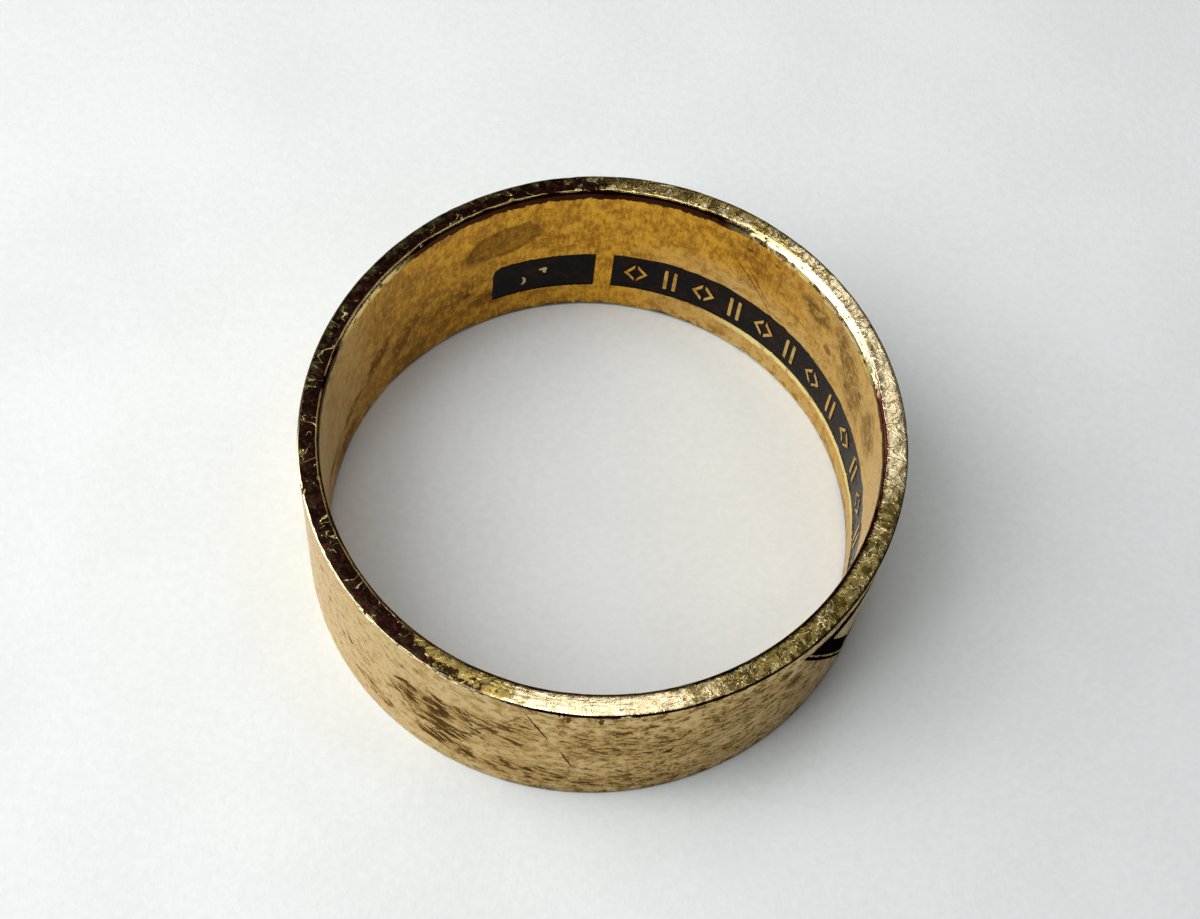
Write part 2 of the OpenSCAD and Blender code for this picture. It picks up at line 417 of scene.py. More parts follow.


# Inner wall: deep amber, partly tarnish and partly a painted interreflection of gold on gold, mottled, paler
# towards its two ends, where a reflection of the bright floor is painted, and above the long panel
def innerWall(sheet, f, look):
    # the two ends are paler as a painted reflection of the bright floor seen at a low angle; above the long
    # panel the wall is paler too
    leftEnd = sheet.product(f.along("innerLeftEnd"), sheet.step(f.height, 1.6, 2.4))
    ends = sheet.most(f.along("innerRightEnd"), leftEnd)
    above = sheet.product(f.along("abovePanel"), sheet.step(f.height, 5.6, 3.9))
    pale = sheet.product(sheet.most(ends, above), sheet.step(f.mottled, 0.62, 0.42, 0.35, 1.0))
    tallGrain = streaks(sheet, f.place, 0.0, 8.0, 2.4, 2.0)
    depth = sheet.total(sheet.product(f.cloudy, 0.32), sheet.product(f.mottled, 0.35),
                        sheet.product(tallGrain, 0.38), sheet.product(f.along("innerBackLeft"), 0.03))
    deep = sheet.product(sheet.step(depth, 0.42, 0.66), 0.9)
    # the deep amber is partly tarnish and partly a painted interreflection of gold on gold
    colour = sheet.tint(look["amber"], look["amberDeep"], deep)
    colour = sheet.tint(colour, look["cream"], sheet.product(pale, 0.9))

    blots = sheet.product(ovals(sheet, f.bent, f.innerRadius, look["innerBlots"], 0.0, 0.7),
                          sheet.step(sheet.total(f.grain, f.mottled), 0.80, 1.02, 0.3))
    ball = ovalMask(sheet, shake(sheet, f.place, 1.4, 0.5), f.innerRadius, *look["ovalStain"])
    ovalBody = sheet.product(sheet.step(ball, 0.0, 0.3, 0.0, 0.7), sheet.step(f.grain, 0.35, 0.6, 0.6, 1.0))
    ovalBorder = sheet.product(sheet.step(ball, 0.0, 0.12), sheet.step(ball, 0.34, 0.12), f.mottled, 0.8)
    specks = sheet.product(sheet.step(f.grain, 0.60, 0.69), sheet.step(f.cloudy, 0.45, 0.6), 0.7)
    marks = sheet.product(ovals(sheet, f.lively, f.innerRadius, look["innerMarks"], 0.0, 0.4), 0.85)
    # darker towards the bottom, and a painted contact shadow: a dark line along the foot at the left
    footMottle = sheet.product(sheet.step(f.height, 0.7, 0.0), sheet.step(f.mottled, 0.45, 0.6), 0.7)
    contactShadowLine = sheet.product(sheet.step(f.height, 0.35, 0.15), f.along("innerLeftFoot"), 0.9)
    foot = sheet.most(footMottle, contactShadowLine)
    stain = sheet.total(blots, ovalBody, ovalBorder, specks, marks, foot, clamp=True)
    colour = sheet.tint(colour, look["rust"], sheet.product(stain, 0.9))

    # a painted highlight: a bright line below the long panel; and a dark hem that hangs down from the upper
    # edge, partly dirt and partly a painted dark reflection of the rounded edge, painted bright gold as a
    # highlight where that edge is bare
    wavyHeight = sheet.total(f.height, sheet.product(f.mottled, 0.5))
    # painted highlight: the bright line below the long panel
    line = sheet.product(sheet.step(wavyHeight, 1.40, 1.50), sheet.step(f.height, 1.50, 1.47),
                         f.along("belowPanel"), sheet.step(f.mottled, 0.34, 0.42))
    # dark hem: partly dirt, partly a painted dark reflection of the upper inner rounding
    hem = sheet.step(wavyHeight, f.top - 0.22, f.top - 0.16)
    # painted highlight: bright gold on the hem where the upper inner edge is bare
    hemHighlight = sheet.product(f.bareInner, sheet.step(f.mottled, 0.40, 0.48))
    hemColour = sheet.tint(look["redBrown"], look["glint"], hemHighlight)
    colour = sheet.tint(sheet.tint(colour, look["highlightGold"], line), hemColour, hem)
    return colour, sheet.most(stain, sheet.product(hem, sheet.opposite(f.bareInner)))


# Rim: black with dirt along the back and left, where scratches shine through, and crinkled gold elsewhere. At
# its right, bright crinkle lines are painted highlights, and dark olive hollows at the right front are
# painted shade, with faint darker pits elsewhere.
def rimTop(sheet, f, look):
    dirtySide, rightFront = f.along("rimDirty"), f.along("rimRightFront")
    leftFront = sheet.product(f.along("rimLeftFront"), sheet.step(f.reach, 9.95, 10.3))
    crust = sheet.total(sheet.product(f.grain, 0.35), sheet.product(f.mottled, 0.65),
                        sheet.product(dirtySide, 0.4), sheet.product(leftFront, 0.2))
    scratched = sheet.product(sheet.hairs(f.place, 0.8, 0.011, 1.4), sheet.step(f.cloudy, 0.50, 0.58))
    shavings = sheet.product(sheet.hairs(f.bent, 2.0, 0.012, 0.6), sheet.step(f.mottled, 0.56, 0.61))
    flecks = sheet.most(scratched, shavings)
    dirt = sheet.product(sheet.step(crust, 0.62, 0.68), sheet.opposite(sheet.product(flecks, 0.95)))

    greenish = sheet.total(sheet.product(f.mottled, 0.6), sheet.product(f.grain, 0.4),
                           sheet.product(f.along("rimBack"), 0.16),
                           sheet.product(f.along("rimLeftOlive"), 0.24), sheet.product(rightFront, 0.26))
    colour = sheet.tint(look["rimGold"], look["olive"], sheet.step(greenish, 0.52, 0.66, 0.0, 0.95))
    pits = sheet.step(f.mottled, 0.48, 0.56)
    # painted shade: dark olive between the crinkles at the right front, and faint darker pits elsewhere
    pitsAndShade = sheet.total(sheet.product(rightFront, sheet.step(pits, 0.0, 1.0, 0.3, 0.85)),
                          sheet.product(pits, 0.12), clamp=True)
    colour = sheet.tint(colour, look["oliveDeep"], pitsAndShade)
    # painted highlights: bright crinkle lines along the right of the rim
    wrinkleHighlights = sheet.product(sheet.hairs(f.bent, 2.4, 0.018, 0.8),
                             sheet.most(rightFront, f.along("rimRightBack")))
    colour = sheet.tint(colour, look["bright"], wrinkleHighlights)
    colour = sheet.tint(colour, look["glint"], sheet.product(flecks, dirtySide))

    grime = sheet.tint(look["dark"], look["darkRed"], sheet.step(f.grain, 0.52, 0.60))
    crusted = sheet.product(sheet.step(f.mottled, 0.46, 0.56), sheet.step(f.reach, 10.0, 10.3),
                            sheet.step(f.along("rimCrust"), 0.0, 1.0, 0.2))
    grime = sheet.tint(grime, look["crust"], crusted)
    return sheet.tint(colour, grime, dirt), dirt


# Rounded edges: dark, partly dirt that has stayed in them and partly a painted dark reflection, and wear has
# bared the gold in some stretches
def edgeTint(sheet, f, look):
    bareInside = sheet.product(f.bareInner, sheet.step(sheet.total(f.mottled, f.grain), 0.80, 0.92))
    bareOutside = sheet.product(f.along("outerBareEdge"), sheet.step(f.mottled, 0.32, 0.42))
    inner = sheet.tint(look["redBrown"], look["bright"], bareInside)
    outer = sheet.tint(look["dark"], look["bright"], bareOutside)
    return sheet.tint(inner, outer, f.isOuter)


# The thin wavy line of bare gold between the dirty rim and its inner rounding
def bareLine(sheet, f):
    wavy = sheet.total(f.upright, sheet.product(sheet.math("SUBTRACT", f.mottled, 0.5), 0.4))
    return sheet.product(sheet.step(wavy, 0.78, 0.86), sheet.step(f.upright, 0.985, 0.96), f.isInner,
                         sheet.step(f.cloudy, 0.34, 0.42), f.along("rimLine"))


# Fine scratches on the walls and the crinkled rim. Bump works out its height three times, so stains stay out.
def goldRelief(sheet, f):
    scratches = sheet.step(streaks(sheet, f.place, 0.16, 15.0, 1.6, 1.0), 0.35, 0.65)
    rubs = sheet.step(streaks(sheet, f.place, 0.0, 1.1, 7.0, 1.0), 0.3, 0.7)
    creases = sheet.hairs(f.place, 1.5, 0.06, 0.9)
    crinkles = sheet.noise(f.place, 1.4, 1.0, 0.5, 0.5)
    ax, ay = sheet.split(f.around)[:2]
    grooves = sheet.noise(sheet.vector("SCALE", sheet.join(ax, ay, f.reach), scale=9.0), 1.0, 2.0)
    front = f.along("rimFront")
    calm = sheet.most(front, sheet.product(f.along("rimRightCalm"), 0.4),
                      sheet.product(f.along("rimRightFront"), 0.6),
                      sheet.product(f.along("rimLeftCalm"), 0.7))
    crumpled = sheet.step(calm, 0.0, 1.0, 1.0, 0.4)
    rim = sheet.total(sheet.product(crinkles, crumpled, 3.1), sheet.product(creases, crumpled, 0.7),
                      sheet.product(grooves, sheet.step(front, 0.0, 1.0, 0.15, 0.9)))
    return sheet.total(sheet.product(scratches, f.isWall, 0.10), sheet.product(rubs, f.isWall, 0.22),
                       sheet.product(f.fine, 0.06), sheet.product(rim, f.isRim))


def makeGold(look):
    material, sheet, shader, place = startMaterial("wornGold", 0.25, 1.0)
    shader.inputs["Specular Tint"].default_value = (*look["sheen"], 1.0)
    shader.inputs["Specular IOR Level"].default_value = 0.0
    f = goldFields(sheet, place, look)
    outerColour, outerStain = outerWall(sheet, f, look)
    innerColour, innerStain = innerWall(sheet, f, look)
    rimColour, rimDirt = rimTop(sheet, f, look)
    isEdge = sheet.math("SUBTRACT", 1.0, sheet.total(f.isRim, f.isWall), clamp=True)
    colour = sheet.tint(sheet.tint(innerColour, outerColour, f.isOuter), rimColour, f.isRim)
    colour = sheet.tint(colour, edgeTint(sheet, f, look), isEdge)
    sheet.feed(shader.inputs["Base Color"], sheet.tint(colour, look["glint"], bareLine(sheet, f)))

    # dirt on the outer wall is no metal, so it stays brown where it is seen at a low angle
    outerDirt = sheet.product(f.isOuter, f.isWall, outerStain)
    sheet.feed(shader.inputs["Metallic"], sheet.step(outerDirt, 0.0, 0.9, 1.0, 0.0, "LINEAR"))
    dirt = sheet.total(outerDirt, sheet.product(f.isInner, f.isWall, innerStain),
                       sheet.product(f.isRim, rimDirt), clamp=True)
    polish = sheet.step(f.fine, 0.3, 0.7, 0.18, 0.32)
    sheet.feed(shader.inputs["Roughness"], sheet.total(polish, sheet.product(dirt, 0.22)))
    bump = sheet.add("ShaderNodeBump", {"Height": goldRelief(sheet, f), "Strength": 0.6,
                                        "Distance": 0.02 * mm})
    sheet.feed(shader.inputs["Normal"], bump.outputs[0])
    return material


# Enamel

enamelLook = {
    "black": (0.0040, 0.0024, 0.0022),
    "worn": (0.085, 0.028, 0.013),
    "gold": (0.62, 0.46, 0.24),
    # rows of ovals: angle, height, half length, half width, turn, strength
    "flecks": [(109.9, 2.86, 0.22, 0.12, 0.0, 1.0), (109.5, 2.72, 0.09, 0.18, 0.0, 1.0)],
    "crescent": (114.6, 2.25, 0.16, 0.30, 0.0),
    "crescentHollow": (115.25, 2.27, 0.17, 0.30, 0.0),
    "redSpots": [
        (112.4, 2.83, 0.45, 0.38, 0.0, 0.9), (66.0, 2.4, 0.6, 0.5, 0.0, 0.5),
        (57.0, 2.8, 0.5, 0.4, 0.0, 0.6), (73.0, 2.9, 0.5, 0.4, 0.0, 0.5),
    ],
}
dullLook = {**enamelLook, "worn": (0.006, 0.004, 0.004)}   # outside, where it has worn matt


def makeEnamel(name, look, gloss):
    material, sheet, shader, place = startMaterial(name, 0.3)
    shader.inputs["Specular IOR Level"].default_value = gloss
    radius = ring["boreRadius"] / mm
    bent = shake(sheet, place, 6.0, 0.18)
    cloudy = sheet.noise(place, 1.6, 4.0, 0.6)
    grain = sheet.noise(place, 12.0, 3.0)
    red = sheet.total(ovals(sheet, bent, radius, look["redSpots"], 0.0, 0.7),
                      sheet.step(cloudy, 0.48, 0.72, 0.0, 0.7), clamp=True)
    colour = sheet.tint(look["black"], look["worn"], sheet.product(red, sheet.step(grain, 0.3, 0.7)))
    crescent = sheet.product(sheet.step(ovalMask(sheet, place, radius, *look["crescent"]), 0.1, 0.2),
                             sheet.step(ovalMask(sheet, place, radius, *look["crescentHollow"]), 0.2, 0.1))
    fleck = sheet.most(ovals(sheet, bent, radius, look["flecks"], 0.12, 0.3), crescent)
    sheet.feed(shader.inputs["Base Color"], sheet.tint(colour, look["gold"], fleck))
    sheet.feed(shader.inputs["Metallic"], fleck)
    sheet.feed(shader.inputs["Roughness"], sheet.step(sheet.total(grain, red), 0.3, 1.3, 0.22, 0.5))
    bump = sheet.add("ShaderNodeBump", {"Height": sheet.total(cloudy, sheet.product(grain, 0.15)),
                                        "Strength": 0.25, "Distance": 0.02 * mm})
    sheet.feed(shader.inputs["Normal"], bump.outputs[0])
    return material


# Paper

paperLook = {
    "shade": (0.79, 0.815, 0.81),
    "light": (0.85, 0.875, 0.87),
}


def makePaper(look):
    material, sheet, shader, place = startMaterial("palePaper", 0.75)
    shader.inputs["Specular IOR Level"].default_value = 0.2
    fibres = sheet.noise(place, 3.0, 3.0, 0.7)
    tone = sheet.total(sheet.product(fibres, 0.5), sheet.product(sheet.noise(place, 0.12, 2.0), 0.5))
    colour = sheet.tint(look["shade"], look["light"], sheet.step(tone, 0.35, 0.65))
    sheet.feed(shader.inputs["Base Color"], colour)
    bump = sheet.add("ShaderNodeBump", {"Height": fibres, "Strength": 0.3, "Distance": 0.05 * mm})
    sheet.feed(shader.inputs["Normal"], bump.outputs[0])
    return material


wornGold = makeGold(goldLook)
blackEnamel = makeEnamel("blackEnamel", enamelLook, 0.035)
dullEnamel = makeEnamel("dullEnamel", dullLook, 0.0)
palePaper = makePaper(paperLook)
print("materials ready")


# Band

band = {
    "aroundCount": 1000,
    "outerEdge": 0.08 * mm,
    "innerEdge": 0.15 * mm,
    "edgeSteps": 5,
    "rimCuts": 9,
    "wallCuts": 21,
    "crown": 0.014 * mm,   # how far the rims' two sides lie below their middle
}


# The wall's outline: a rectangle with rounded corners, its straight sides cut into short steps
def bandOutline(sheet, given):
    wall = sheet.math("SUBTRACT", given["outerRadius"], given["boreRadius"])
    outline = sheet.add("GeometryNodeCurvePrimitiveQuadrilateral", {"Width": wall, "Height": given["width"]})
    across = sheet.split(sheet.add("GeometryNodeInputPosition").outputs[0])[0]
    isOuter = sheet.math("GREATER_THAN", across, 0.0)
    edge = sheet.add("GeometryNodeSwitch", {"Switch": isOuter, "False": given["innerEdge"],
                                            "True": given["outerEdge"]}, input_type="FLOAT")
    rounded = sheet.add("GeometryNodeFilletCurve", {"Curve": outline.outputs[0], "Count": given["edgeSteps"],
                                                    "Radius": edge.outputs[0]}, mode="POLY")
    # each corner has one point more than its steps, and a straight side follows its last point
    index = sheet.add("GeometryNodeInputIndex").outputs[0]
    perCorner = sheet.math("ADD", given["edgeSteps"], 1.0)
    isLast = sheet.math("COMPARE", sheet.math("MODULO", index, perCorner), given["edgeSteps"], 0.1)
    corner = sheet.math("FLOOR", sheet.math("DIVIDE", index, perCorner))
    isWallSide = sheet.math("MODULO", corner, 2.0)
    sideCuts = sheet.add("GeometryNodeSwitch", {"Switch": isWallSide, "False": given["rimCuts"],
                                                "True": given["wallCuts"]}, input_type="INT")
    cuts = sheet.add("GeometryNodeSwitch", {"Switch": isLast, "False": 0, "True": sideCuts.outputs[0]},
                     input_type="INT")
    divided = sheet.add("GeometryNodeSubdivideCurve", {"Curve": rounded.outputs[0], "Cuts": cuts.outputs[0]})
    return divided.outputs[0]


# The outline carried round a circle, with the bore a little off the middle
def bandShape():
    sheet, given = startShape("bandShape", [
        ("outerRadius", "Float"), ("boreRadius", "Float"), ("width", "Float"), ("outerEdge", "Float"),
        ("innerEdge", "Float"), ("crown", "Float"), ("edgeSteps", "Int"), ("rimCuts", "Int"),
        ("wallCuts", "Int"), ("aroundCount", "Int"), ("boreCentre", "Vector"), ("material", "Material")])
    middle = sheet.math("MULTIPLY", sheet.math("ADD", given["outerRadius"], given["boreRadius"]), 0.5)
    circle = sheet.add("GeometryNodeCurvePrimitiveCircle", {"Resolution": given["aroundCount"],
                                                            "Radius": middle})
    swept = sheet.add("GeometryNodeCurveToMesh", {"Curve": circle.outputs[0],
                                                  "Profile Curve": bandOutline(sheet, given)})
    x, y, z = sheet.split(sheet.add("GeometryNodeInputPosition").outputs[0])
    reach = sheet.vector("LENGTH", sheet.join(x, y, 0.0))
    share = sheet.step(reach, given["boreRadius"], given["outerRadius"], 1.0, 0.0, "LINEAR")
    halfWidth = sheet.math("MULTIPLY", given["width"], 0.5)
    offMiddle = sheet.math("MULTIPLY_ADD", share, 2.0, -1.0)
    atRim = sheet.step(sheet.math("ABSOLUTE", z), sheet.math("MULTIPLY", halfWidth, 0.95), halfWidth)
    drop = sheet.product(given["crown"], offMiddle, offMiddle, atRim, sheet.math("SIGN", z))
    lift = sheet.join(0.0, 0.0, sheet.math("SUBTRACT", halfWidth, drop))
    offset = sheet.vector("ADD", sheet.vector("SCALE", given["boreCentre"], scale=share), lift)
    moved = sheet.add("GeometryNodeSetPosition", {"Geometry": swept.outputs[0], "Offset": offset})
    return endShape(sheet, moved.outputs[0], given["material"])


bandBlank = makeMesh("bandBlank", bandShape(), {**band, **ring, "material": wornGold})
print("band swept:", len(bandBlank.data.polygons), "faces")


# Panels inside: slabs bent round the bore, and the row of marks that stands in the long one

panels = {
    "low": panelLow.z - inlay["gap"],
    "high": panelHigh.z + inlay["gap"],
    "longStart": math.radians(93.7),
    "bridge": math.radians(4.0),
    "shortTurn": math.radians(24.0),
    "markCount": 31,
    "markStep": math.radians(8.05),
    "markMargin": math.radians(5.5),
    "roundCorner": 0.55 * mm,   # the short panel's far upper corner
    "cornerSteps": 8,
    "facet": math.radians(0.36),
    "heightPoints": 9,
}
panels["longTurn"] = 2 * panels["markMargin"] + (panels["markCount"] - 1) * panels["markStep"]
marks = {
    "height": 1.3 * mm,
    "lozengeWidth": 0.95 * mm,
    "opening": 0.12 * mm,
    "stroke": 0.15 * mm,
    "reelPitch": 0.36 * mm,
    "over": 0.45 * mm,   # how far a mark's prism reaches to both sides of the bore's wall
}


# Bends flat work round an axis: x runs clockwise from the start, y outwards from the radius, z stays
def wrap(sheet, geometry, radius, centre, start):
    x, y, z = sheet.split(sheet.add("GeometryNodeInputPosition").outputs[0])
    angle = sheet.math("SUBTRACT", start, sheet.math("DIVIDE", x, radius))
    reach = sheet.math("ADD", radius, y)
    bent = sheet.join(sheet.math("MULTIPLY", reach, sheet.math("COSINE", angle)),
                      sheet.math("MULTIPLY", reach, sheet.math("SINE", angle)), z)
    moved = sheet.add("GeometryNodeSetPosition", {"Geometry": geometry,
                                                  "Position": sheet.vector("ADD", bent, centre)})
    return moved.outputs[0]


def slabShape():
    sheet, given = startShape("bentSlab", [
        ("length", "Float"), ("near", "Float"), ("far", "Float"), ("low", "Float"), ("high", "Float"),
        ("radius", "Float"), ("centre", "Vector"), ("start", "Float"), ("lengthPoints", "Int"),
        ("heightPoints", "Int"), ("material", "Material")])
    size = sheet.join(given["length"], sheet.math("SUBTRACT", given["far"], given["near"]),
                      sheet.math("SUBTRACT", given["high"], given["low"]))
    block = sheet.add("GeometryNodeMeshCube", {"Size": size, "Vertices X": given["lengthPoints"],
                                               "Vertices Y": 2, "Vertices Z": given["heightPoints"]})
    middle = sheet.join(sheet.math("MULTIPLY", given["length"], 0.5),
                        sheet.math("MULTIPLY", sheet.math("ADD", given["near"], given["far"]), 0.5),
                        sheet.math("MULTIPLY", sheet.math("ADD", given["low"], given["high"]), 0.5))
    placed = sheet.add("GeometryNodeSetPosition", {"Geometry": block.outputs[0], "Offset": middle})
    bent = wrap(sheet, placed.outputs[0], given["radius"], given["centre"], given["start"])
    return endShape(sheet, bent, given["material"])


def markRowShape():
    sheet, given = startShape("markRow", [
        ("lozenge", "Object"), ("reel", "Object"), ("count", "Int"), ("first", "Float"), ("pitch", "Float"),
        ("height", "Float"), ("radius", "Float"), ("centre", "Vector"), ("start", "Float"),
        ("material", "Material")])
    first = sheet.join(given["first"], 0.0, given["height"])
    pitch = sheet.join(given["pitch"], 0.0, 0.0)
    line = sheet.add("GeometryNodeMeshLine", {"Count": given["count"], "Start Location": first,
                                              "Offset": pitch}, mode="OFFSET")
    isReel = sheet.math("MODULO", sheet.add("GeometryNodeInputIndex").outputs[0], 2.0)
    rows = sheet.add("GeometryNodeJoinGeometry")
    for label, chosen in (("lozenge", sheet.opposite(isReel)), ("reel", isReel)):
        shape = sheet.add("GeometryNodeObjectInfo", {"Object": given[label]}).outputs["Geometry"]
        copies = sheet.add("GeometryNodeInstanceOnPoints", {"Points": line.outputs[0], "Selection": chosen,
                                                            "Instance": shape})
        sheet.feed(rows.inputs[0], copies.outputs[0])
    real = sheet.add("GeometryNodeRealizeInstances", {"Geometry": rows.outputs[0]})
    bent = wrap(sheet, real.outputs[0], given["radius"], given["centre"], given["start"])
    return endShape(sheet, bent, given["material"])


# A closed prism on each outline of x and z, running in y. Outlines turn anticlockwise, so faces point out.
def prisms(name, outlines, near, far):
    points, faces = [], []
    for outline in outlines:
        first, count = len(points), len(outline)
        points += [(x, near, z) for x, z in outline] + [(x, far, z) for x, z in outline]
        faces.append([first + i for i in range(count)])
        faces.append([first + count + i for i in reversed(range(count))])
        for i in range(count):
            j = (i + 1) % count
            faces.append([first + j, first + i, first + count + i, first + count + j])
    mesh = bpy.data.meshes.new(name)
    mesh.from_pydata(points, [], faces)
    piece = bpy.data.objects.new(name, mesh)
    scene.collection.objects.link(piece)
    return piece


# Half a lozenge's line, open at its two points; side is 1 or -1
def lozengeHalf(side, grow):
    slope = math.hypot(marks["lozengeWidth"], marks["height"]) / marks["height"]
    tall = marks["height"] / marks["lozengeWidth"]
    outside = marks["lozengeWidth"] / 2 + grow * slope
    inside = marks["lozengeWidth"] / 2 - (marks["stroke"] + grow) * slope
    cut = marks["opening"] / 2 - grow
    points = [(cut, (outside - cut) * tall), (outside, 0.0), (cut, (cut - outside) * tall),
              (cut, (cut - inside) * tall), (inside, 0.0), (cut, (inside - cut) * tall)]
    return [(side * x, z) for x, z in points][::-side]


def reelBar(side, grow):
    x = side * marks["reelPitch"] / 2
    half = marks["stroke"] / 2 + grow
    tall = marks["height"] / 2 + grow
    return [(x - half, -tall), (x + half, -tall), (x + half, tall), (x - half, tall)]


slabTree, rowTree = slabShape(), markRowShape()


# The cut has no gap and reaches out past the gold; the enamel lies inside it with a gap all round
def panelSlab(name, start, turn, gap):
    radius = ring["boreRadius"]
    near = inlay["sink"] if gap else -inlay["over"]
    return makeMesh(name, slabTree, {
        "length": turn * radius - 2 * gap, "near": near, "far": inlay["depth"] - gap,
        "low": panels["low"] + gap, "high": panels["high"] - gap, "radius": radius,
        "centre": ring["boreCentre"], "start": start - gap / radius,
        "lengthPoints": int(turn / panels["facet"]), "heightPoints": panels["heightPoints"],
        "material": blackEnamel if gap else wornGold})


def markRow(name, grow):
    over = marks["over"]
    tools = [prisms(name + "Lozenge", [lozengeHalf(side, grow) for side in (1, -1)], -over, over),
             prisms(name + "Reel", [reelBar(side, grow) for side in (1, -1)], -over, over)]
    radius = ring["boreRadius"]
    row = makeMesh(name, rowTree, {
        "lozenge": tools[0], "reel": tools[1], "count": panels["markCount"],
        "first": panels["markMargin"] * radius, "pitch": panels["markStep"] * radius,
        "height": (panels["low"] + panels["high"]) / 2, "radius": radius,
        "centre": ring["boreCentre"], "start": panels["longStart"], "material": wornGold})
    discard(tools)
    return row


# What the round corner of the short panel leaves out, as a prism that runs outwards through the panel's slab
def cornerPrism(name, start, gap):
    side, over, steps = panels["roundCorner"], inlay["over"], panels["cornerSteps"]
    bend = side - gap
    quarter = [math.pi / 2 * i / steps for i in range(steps + 1)]
    arc = [(side - bend * math.cos(a), side - bend * math.sin(a)) for a in quarter]
    outline = [(-over, -over), (-over, side)] + arc + [(side, -over)]
    piece = prisms(name, [[(x, panels["high"] - down) for x, down in outline]], -over * 2, over * 2)
    turn = start - math.pi / 2   # the prism is made facing +Y
    piece.data.transform(Matrix.Translation(ring["boreCentre"]) @ Matrix.Rotation(turn, 4, "Z")
                         @ Matrix.Translation((0.0, ring["boreRadius"], 0.0)))
    return piece


# Joins, cuts or intersects closed meshes; the first one given is worked on
def carve(name, how, first, others, material):
    labels = ["tool%d" % i for i in range(len(others))]
    sheet, given = startShape(name + "Carve", [("first", "Object"), ("material", "Material")]
                              + [(label, "Object") for label in labels])
    shapes = [sheet.add("GeometryNodeObjectInfo", {"Object": given[label]}).outputs["Geometry"]
              for label in ["first"] + labels]
    node = sheet.add("GeometryNodeMeshBoolean", operation=how, solver="MANIFOLD")
    if how == "DIFFERENCE":
        sheet.feed(node.inputs["Mesh 1"], shapes.pop(0))
    for shape in shapes:
        sheet.feed(node.inputs["Mesh 2"], shape)
    tree = endShape(sheet, node.outputs[0], given["material"])
    piece = makeMesh(name, tree, {"first": first, "material": material, **dict(zip(labels, others))})
    discard([first, *others])
    return piece


# A panel's cut in the gold and the enamel in it, each a slab less what stands in it
def panelPair(name, start, turn, standing):
    gap = inlay["gap"]
    cut = carve(name + "Cut", "DIFFERENCE", panelSlab(name + "Slab", start, turn, 0.0),
                [standing(name + "Standing", 0.0)], wornGold)
    enamel = carve(name + "Enamel", "DIFFERENCE", panelSlab(name + "Fill", start, turn, gap),
                   [standing(name + "Grown", gap)], blackEnamel)
    return cut, enamel


shortStart = panels["longStart"] + panels["bridge"] + panels["shortTurn"]
longCut, longEnamel = panelPair("long", panels["longStart"], panels["longTurn"], markRow)
shortCut, shortEnamel = panelPair("short", shortStart, panels["shortTurn"],
                                  lambda name, gap: cornerPrism(name, shortStart, gap))
print("panels cut:", len(longCut.data.polygons), "and", len(longEnamel.data.polygons), "faces")


# Triangle outside: an outline, and a bold chevron that hangs from its level side

triangle = {
    "side": 7.1 * mm,
    "angle": math.radians(-22.5),
    "outline": 0.14 * mm,
    "goldLine": 0.10 * mm,
    "middleIn": 0.94 * mm,
    "middleDown": 0.94 * mm,
    "shellReach": 0.62,   # the bent slab's half length, as a share of the side
    "shellMargin": 0.1 * mm,
    "heightPoints": 24,
}


# The triangle with its sloping sides moved in and its level side moved down, as a prism through the wall
def trianglePrism(name, sidesIn, topDown):
    tall = triangle["side"] * math.sqrt(3) / 2
    top = (ring["width"] + tall) / 2
    half = (tall - topDown - 2 * sidesIn) / math.sqrt(3)
    outline = [(half, top - topDown), (-half, top - topDown), (0.0, top - tall + 2 * sidesIn)]
    piece = prisms(name, [outline], ring["boreRadius"], ring["outerRadius"] * 1.1)
    turn = triangle["angle"] - math.pi / 2   # the prism is made facing +Y
    piece.data.transform(Matrix.Rotation(turn, 4, "Z"))
    return piece


def triangleInlay(name, grow, near, far, material):
    line = triangle["outline"]
    fieldIn = line + triangle["goldLine"]
    middleIn, middleDown = triangle["middleIn"] - grow, triangle["middleDown"] - grow
    border = carve(name + "Outline", "DIFFERENCE", trianglePrism(name + "Whole", grow, grow),
                   [trianglePrism(name + "Hole", line - grow, line - grow)], material)
    field = carve(name + "Field", "DIFFERENCE", trianglePrism(name + "Chevron", fieldIn + grow, grow),
                  [trianglePrism(name + "Middle", middleIn, middleDown)], material)
    drawing = carve(name + "Drawing", "UNION", border, [field], material)
    radius, margin = ring["outerRadius"], triangle["shellMargin"]
    length = 2 * triangle["shellReach"] * triangle["side"]
    shell = makeMesh(name + "Shell", slabTree, {
        "length": length, "near": near, "far": far, "low": margin, "high": ring["width"] - margin,
        "radius": radius, "centre": Vector((0, 0, 0)), "start": triangle["angle"] + length / 2 / radius,
        "lengthPoints": int(length / radius / panels["facet"]), "heightPoints": triangle["heightPoints"],
        "material": material})
    return carve(name, "INTERSECT", shell, [drawing], material)


triangleCut = triangleInlay("triangleCut", 0.0, -inlay["depth"], inlay["over"], wornGold)
triangleEnamel = triangleInlay("triangleEnamel", inlay["gap"], inlay["gap"] - inlay["depth"], -inlay["sink"],
                               dullEnamel)
goldBand = carve("goldBand", "DIFFERENCE", bandBlank, [longCut, shortCut, triangleCut], wornGold)
print("band carved:", len(goldBand.data.polygons), "faces")


# Wear: the ring is a little out of round, longest across a diagonal, and its gold has only worn inwards, so
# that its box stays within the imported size

wear = {
    "oval": 0.0093,
    "ovalAngle": math.radians(43.5),
    "third": 0.0011,
    "thirdAngle": math.radians(-4.8),
    "shrink": 0.9985,
    "waves": 0.010 * mm,
    "crinkle": 0.006 * mm,
    "edgeWear": 0.035 * mm,
    "nicks": 0.03 * mm,
    "softReach": 0.45 * mm,   # how far the softened edge goes, outwards from the bore and down from the top
    "softOut": 0.12 * mm,
    "softDrop": 0.08 * mm,
    "seed": 7.0,
}
softStretch = (44.0, 20.0, 10.0)   # where the upper inner edge is worn rounder
goldOnly = ("waves", "crinkle", "edgeWear", "nicks", "softOut", "softDrop")


